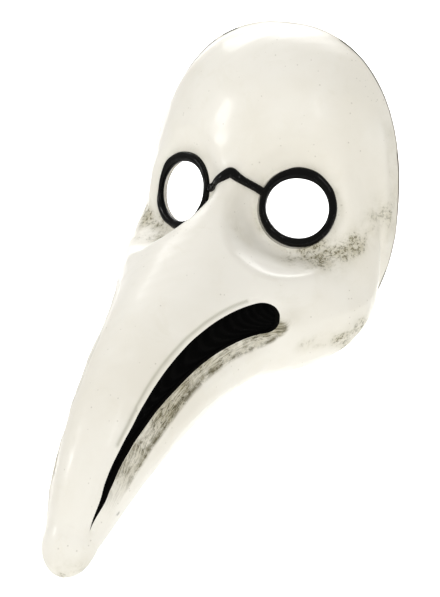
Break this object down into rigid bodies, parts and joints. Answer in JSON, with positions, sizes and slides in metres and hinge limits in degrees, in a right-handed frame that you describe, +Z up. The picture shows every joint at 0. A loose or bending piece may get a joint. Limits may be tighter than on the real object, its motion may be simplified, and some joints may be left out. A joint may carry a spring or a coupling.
{
  "type": "plague doctor mask",
  "caption": "Hollow papier-mache plague doctor mask with a long down-curved beak, round black-rimmed eye holes joined by a bridge, and dark mouth slots.",
  "frame": {"origin": "centre of the flat back edge at eye height, where the wearer's face goes in", "axes": "+X towards the wearer's left, +Y back towards the wearer, +Z up the forehead"},
  "size_m": [0.16, 0.1991, 0.2903],
  "materials": {
    "papier_mache": "aged cream gesso with satin varnish over papier-mache",
    "black_lacquer": "gloss black paint",
    "gauze": "black cotton gauze",
    "felt": "black felt",
    "binding_tape": "painted cotton tape",
    "foam": "charcoal foam under jersey",
    "ribbon": "black satin"
  },
  "bodies": {
    "root": {"mask_shell": "papier_mache", "spectacle_rim_left": "black_lacquer", "spectacle_rim_right": "black_lacquer", "spectacle_bridge": "black_lacquer", "mouth_gauze_left": "gauze", "mouth_gauze_right": "gauze", "face_lining": "felt", "edge_binding": "binding_tape", "forehead_pad": "foam", "cheek_pad_left": "foam", "cheek_pad_right": "foam", "tie_loop_left": "ribbon", "tie_loop_right": "ribbon", "loop_patch_left": "felt", "loop_patch_right": "felt"}
  },
  "joints": []
}
